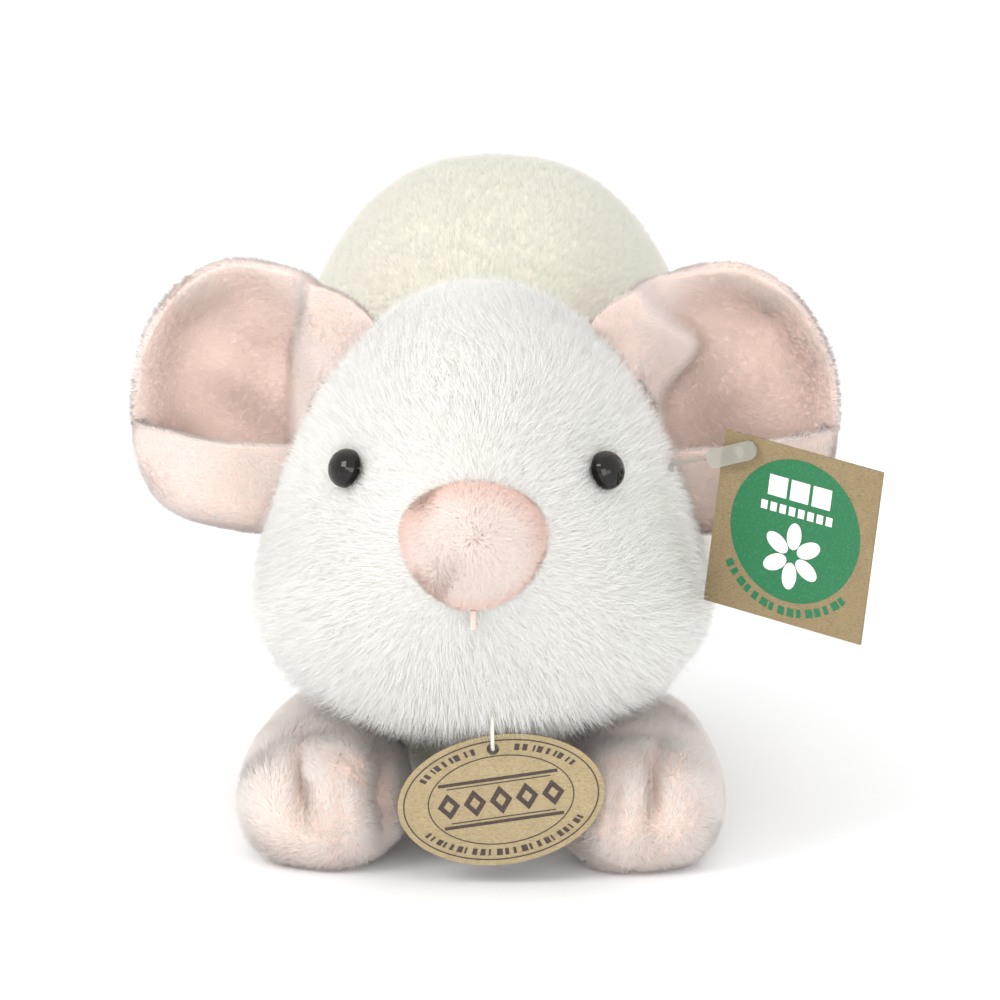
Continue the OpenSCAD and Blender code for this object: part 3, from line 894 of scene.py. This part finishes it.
tail = skin_from("tail_core", "tail_cloth", 1.1, 0.8)
set_coords(tail.data, keep_above_floor(coords(tail.data)))
stuff(tail, "tail_stuffing", "tail", "tail_core", 1.1)
as_cloth(tail, PINK_BACKING, "tail", "velboa_pink", "tail_cover")
grow("tail_pile", tail.data, 26000, 1.4, 0.13, back_flow, VELBOA, "tail", 61,
     density=clear_of_floor, lift=(50, 28), joints=1, tuft_mm=0.8, pull=0.3, jitter=0.4)

# %% [markdown]
# ## Eyes, threads and hidden parts
# The eyes are glossy black plastic, and each is a shank button held by a washer behind the cloth. The
# CAD shapes are right as they are, so they stay and only get their real materials. The care label
# keeps its CAD shape too.

# %% Hard parts and threads
EYE_BLACK, eye_tree, eye_shader = new_material("black_glossy_plastic", Roughness=0.05)
eye_shader.inputs["Specular IOR Level"].default_value = 0.4
# Painted sheen: the black turns a lighter brown towards the bead's edges, as seen from the camera.
grazing = add(eye_tree, "ShaderNodeLayerWeight", {"Blend": 0.35})
edge_sheen = add(eye_tree, "ShaderNodeMix", {"data_type": "RGBA"}, {0: grazing.outputs["Facing"]})
edge_sheen.inputs["A"].default_value = linear("#0D0908")
edge_sheen.inputs["B"].default_value = linear("#1B1310")
eye_tree.links.new(edge_sheen.outputs["Result"], eye_shader.inputs["Base Color"])


def plastic(name, colour, roughness, through=0.0, mottle_mm=3.0):
    """Moulded plastic with a faint flow mottle."""
    material, tree, shader = new_material(name, Roughness=roughness)
    place = add(tree, "ShaderNodeTexCoord")
    flow = add(tree, "ShaderNodeTexNoise", {"Scale": 1 / (mottle_mm * MM)},
               {"Vector": place.outputs["Object"]})
    mix = add(tree, "ShaderNodeMix", {"data_type": "RGBA"}, {0: flow.outputs["Fac"]})
    mix.inputs["A"].default_value = [c * 0.92 for c in linear(colour)[:3]] + [1.0]
    mix.inputs["B"].default_value = linear(colour)
    tree.links.new(mix.outputs["Result"], shader.inputs["Base Color"])
    shader.inputs["Transmission Weight"].default_value = through
    return material


CLEAR_NYLON = plastic("clear_nylon_fastener", "#E4E3DC", 0.3, 0.75)
WASHER = plastic("white_moulded_washer", "#E9E9E5", 0.45)
PINK_THREAD = backing_material("pink_sewing_thread", "#EDC6BA", 0.3)
CREAM_THREAD = backing_material("cream_sewing_thread", "#E6E2CF", 0.3)
COTTON_LOOP = backing_material("waxed_cotton_loop", "#E4E1D6", 0.4)
LABEL_TAPE = backing_material("woven_satin_label", "#F4F4F0", 0.5)
BAG_CLOTH = backing_material("calico_pellet_bag", "#DCD5C4", 0.7)


def dress(material, *names):
    """Gives CAD pieces that keep their shape their one material."""
    for name in names:
        mesh = nodes[name].data
        mesh.materials.clear()
        mesh.materials.append(material)


dress(EYE_BLACK, "eye_left", "eye_right")
dress(WASHER, "eye_washer_left", "eye_washer_right")
dress(PINK_THREAD, "mouth_stitch", "toe_stitches_left", "toe_stitches_right")
dress(CREAM_THREAD, "closing_stitches")
dress(COTTON_LOOP, "oval_tag_loop")
dress(LABEL_TAPE, "care_label")
dress(CLEAR_NYLON, "tag_fastener")

bag = skin_from("pellet_bag", "pellet_bag_cloth", -0.4, 1.2, smooth=10)
as_cloth(bag, BAG_CLOTH, "torso", "pellets", "pellet_bag")

# %% [markdown]
# ## Card tags
# Both tags are recycled kraft card. Its colour is never even: fine dark and light fibres lie in it, and
# it is a little blotchy. The prints are thin films of ink that stand just clear of the card. They are
# plain rings, bars, dashes, blocks, diamonds and petals, in place of any lettering or mark.

# %% Card and ink
BLOTCHES_PER_M = 260.0  # just under 4 mm each
FIBRES_PER_M = 1500.0   # about two thirds of a millimetre each
GRAINS_PER_M = 2200.0   # just under half a millimetre each


def kraft(name, base, dark, light):
    """Matt unbleached card, blotchy, with dark and light fibres that also roughen it a little."""
    material, tree, shader = new_material(name, Roughness=0.85)
    spot = add(tree, "ShaderNodeTexCoord").outputs["Object"]
    long_way = add(tree, "ShaderNodeMapping", {"Scale": (1.0, 1.0, 4.0)}, {"Vector": spot})
    blotch = add(tree, "ShaderNodeTexNoise", {"Scale": BLOTCHES_PER_M, "Detail": 3.0}, {"Vector": spot})
    fleck = add(tree, "ShaderNodeTexNoise", {"Scale": FIBRES_PER_M, "Detail": 4.0, "Roughness": 0.7},
                {"Vector": long_way.outputs["Vector"]})
    amount = fleck.outputs["Fac"]
    deep = add(tree, "ShaderNodeMapRange", {"From Min": 0.54, "From Max": 0.68}, {"Value": amount})
    pale = add(tree, "ShaderNodeMapRange", {"From Min": 0.42, "From Max": 0.30}, {"Value": amount})
    first = add(tree, "ShaderNodeMix", {"data_type": "RGBA"}, {0: blotch.outputs["Fac"]})
    first.inputs["A"].default_value = [c * 0.86 for c in linear(base)[:3]] + [1.0]
    first.inputs["B"].default_value = [min(1, c * 1.12) for c in linear(base)[:3]] + [1.0]
    second = add(tree, "ShaderNodeMix", {"data_type": "RGBA"}, {0: deep.outputs["Result"]})
    second.inputs["B"].default_value = linear(dark)
    third = add(tree, "ShaderNodeMix", {"data_type": "RGBA"}, {0: pale.outputs["Result"]})
    third.inputs["B"].default_value = linear(light)
    tree.links.new(first.outputs["Result"], second.inputs["A"])
    tree.links.new(second.outputs["Result"], third.inputs["A"])
    tree.links.new(third.outputs["Result"], shader.inputs["Base Color"])
    bump = add(tree, "ShaderNodeBump", {"Strength": 0.25, "Distance": 0.1 * MM}, {"Height": amount})
    tree.links.new(bump.outputs["Normal"], shader.inputs["Normal"])
    shader.inputs["Specular IOR Level"].default_value = 0.25
    return material


def ink(name, colour, worn):
    """Printing ink with a satin face, thinner where the card's grain stands up."""
    material, tree, shader = new_material(name, Roughness=0.6)
    place = add(tree, "ShaderNodeTexCoord")
    grain = add(tree, "ShaderNodeTexNoise", {"Scale": GRAINS_PER_M, "Detail": 3.0},
                {"Vector": place.outputs["Object"]})
    thin = add(tree, "ShaderNodeMapRange", {"From Min": 0.5, "From Max": 0.75},
               {"Value": grain.outputs["Fac"]})
    mix = add(tree, "ShaderNodeMix", {"data_type": "RGBA"}, {0: thin.outputs["Result"]})
    mix.inputs["A"].default_value = linear(colour)
    mix.inputs["B"].default_value = linear(worn)
    tree.links.new(mix.outputs["Result"], shader.inputs["Base Color"])
    return material


LIGHT_KRAFT = kraft("light_kraft_card", "#A39373", "#7E6E52", "#BBAE90")
DARK_KRAFT = kraft("brown_kraft_card", "#8E7D5F", "#6B5B41", "#A89777")
BROWN_INK = ink("dark_brown_ink", "#3B2D2A", "#57453B")
GREEN_INK = ink("green_ink", "#1C6B43", "#357C54")
WHITE_INK = ink("white_ink", "#F1F0E8", "#DDE3D5")
dress(LIGHT_KRAFT, "oval_tag")
dress(DARK_KRAFT, "square_tag")


CARD_HALF_MM = 0.3
OVAL_TURN = math.radians(9)


def oval_place(points, lift_mm):
    """From the plane of the oval tag, in millimetres about its middle, to the frame."""
    low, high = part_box("oval_tag")
    middle = np.array((low + high) / 2) / MM
    a, b = points[:, 0], points[:, 1]
    return np.stack([middle[0] + a * math.cos(OVAL_TURN) - b * math.sin(OVAL_TURN),
                     np.full(len(a), middle[1] - CARD_HALF_MM - lift_mm),
                     middle[2] + a * math.sin(OVAL_TURN) + b * math.cos(OVAL_TURN)], 1) * MM


SQUARE_TURN = math.radians(7.5)
SQUARE_YAW = math.radians(-29)
PIN = np.array([54.4, -66.0, 90.2])
PIN_ON_TAG = np.array([-15.2, 13.5])


def square_place(points, lift_mm):
    """From the plane of the square tag, in millimetres about its middle, to the frame."""
    a, b = (points - PIN_ON_TAG).T
    x = a * math.cos(SQUARE_TURN) + b * math.sin(SQUARE_TURN)
    y = np.full(len(a), -CARD_HALF_MM - lift_mm)
    z = -a * math.sin(SQUARE_TURN) + b * math.cos(SQUARE_TURN)
    return (PIN + np.stack([x * math.cos(SQUARE_YAW) - y * math.sin(SQUARE_YAW),
                            x * math.sin(SQUARE_YAW) + y * math.cos(SQUARE_YAW), z], 1)) * MM


def printed(name, shapes, place, material, body, lift_mm=0.06):
    """Ink on a card: every shape is a closed outline, or an outer and an inner one of equal length."""
    points, faces = [], []
    for outer, inner in shapes:
        start = len(points)
        points.extend(outer)
        n = len(outer)
        if inner is None:
            faces.append([start + i for i in range(n)])
        else:
            points.extend(inner)
            for i in range(n):
                j = (i + 1) % n
                faces.append([start + i, start + j, start + n + j, start + n + i])
    mesh = bpy.data.meshes.new(name)
    mesh.from_pydata(place(np.array(points), lift_mm).tolist(), [], faces)
    mesh.update()
    piece = link(name, mesh, material)
    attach(piece, body)


def oval_line(a, b, n=96):
    """An oval about the middle, as n points."""
    turn = np.radians(np.linspace(0, 360, n, endpoint=False))
    return [(a * math.cos(t), b * math.sin(t)) for t in turn]


def ring_shape(a, b, thick):
    return oval_line(a, b), oval_line(a - thick, b - thick)


def bar(x0, x1, y0, y1):
    return [(x0, y0), (x1, y0), (x1, y1), (x0, y1)], None


def dashes(a, b, tall, start, end, count, gap=0.35):
    """A row of upright dashes along part of an oval."""
    out = []
    step = math.radians(end - start) / count
    for k in range(count):
        t0 = math.radians(start) + step * k
        t1 = t0 + step * (1 - gap * (1 + 0.5 * math.sin(k * 2.3)))
        out.append(([(a * math.cos(t0), b * math.sin(t0)), (a * math.cos(t1), b * math.sin(t1)),
                     ((a - tall) * math.cos(t1), (b - tall) * math.sin(t1)),
                     ((a - tall) * math.cos(t0), (b - tall) * math.sin(t0))], None))
    return out


# %% Prints
OVAL_DASHES = (19.3, 11.9, 1.4)
BAR_AT = 4.6
THIN_BAR_IN = 0.9
DIAMOND_STEP = 5.5
oval_shapes = [ring_shape(20.6, 12.9, 0.28), ring_shape(15.4, 9.6, 0.24)]
for start, end, count in ((30, 78, 9), (102, 150, 9), (208, 332, 23)):
    oval_shapes += dashes(*OVAL_DASHES, start, end, count, 0.5)
for up in (1, -1):
    thick, thin = up * BAR_AT, up * BAR_AT - up * THIN_BAR_IN
    oval_shapes += [bar(-12.6, 12.6, thick - 0.35, thick + 0.35), bar(-11, 11, thin - 0.12, thin + 0.12)]
for k in range(5):
    x = (k - 2) * DIAMOND_STEP
    tall = 3.1 - 0.15 * abs(k - 2)
    oval_shapes.append(([(x - 2.4, 0), (x, -tall), (x + 2.4, 0), (x, tall)],
                        [(x - 1.1, 0), (x, -tall * 0.45), (x + 1.1, 0), (x, tall * 0.45)]))
printed("oval_tag_print", oval_shapes, oval_place, BROWN_INK, "oval_tag")

DISC_R = 15.3
DASHES_R = 18.4
printed("square_tag_disc", [(oval_line(DISC_R, DISC_R), None)], square_place, GREEN_INK, "square_tag")
printed("square_tag_dashes", dashes(DASHES_R, DASHES_R, 1.8, 214, 322, 15), square_place, GREEN_INK,
        "square_tag")

PETAL_AT = 4.3
PETAL_LONG = 2.9
PETAL_WIDE = 1.7
FLOWER_AT = -5.4
flower = []
for k in range(6):
    t = math.radians(60 * k + 30)
    petal = []
    for a in np.radians(np.arange(0, 360, 15)):
        far, aside = PETAL_AT + PETAL_LONG * math.cos(a), PETAL_WIDE * math.sin(a)
        petal.append((far * math.cos(t) - aside * math.sin(t),
                      FLOWER_AT + far * math.sin(t) + aside * math.cos(t)))
    flower.append((petal, None))
for count, left, step, wide, low, high in ((3, -7.4, 5.2, 4.4, 6.4, 10.8), (8, -8.6, 2.2, 1.5, 3.1, 5.0)):
    flower += [bar(left + step * k, left + wide + step * k, low, high) for k in range(count)]
printed("square_tag_flower", flower, square_place, WHITE_INK, "square_tag", 0.12)
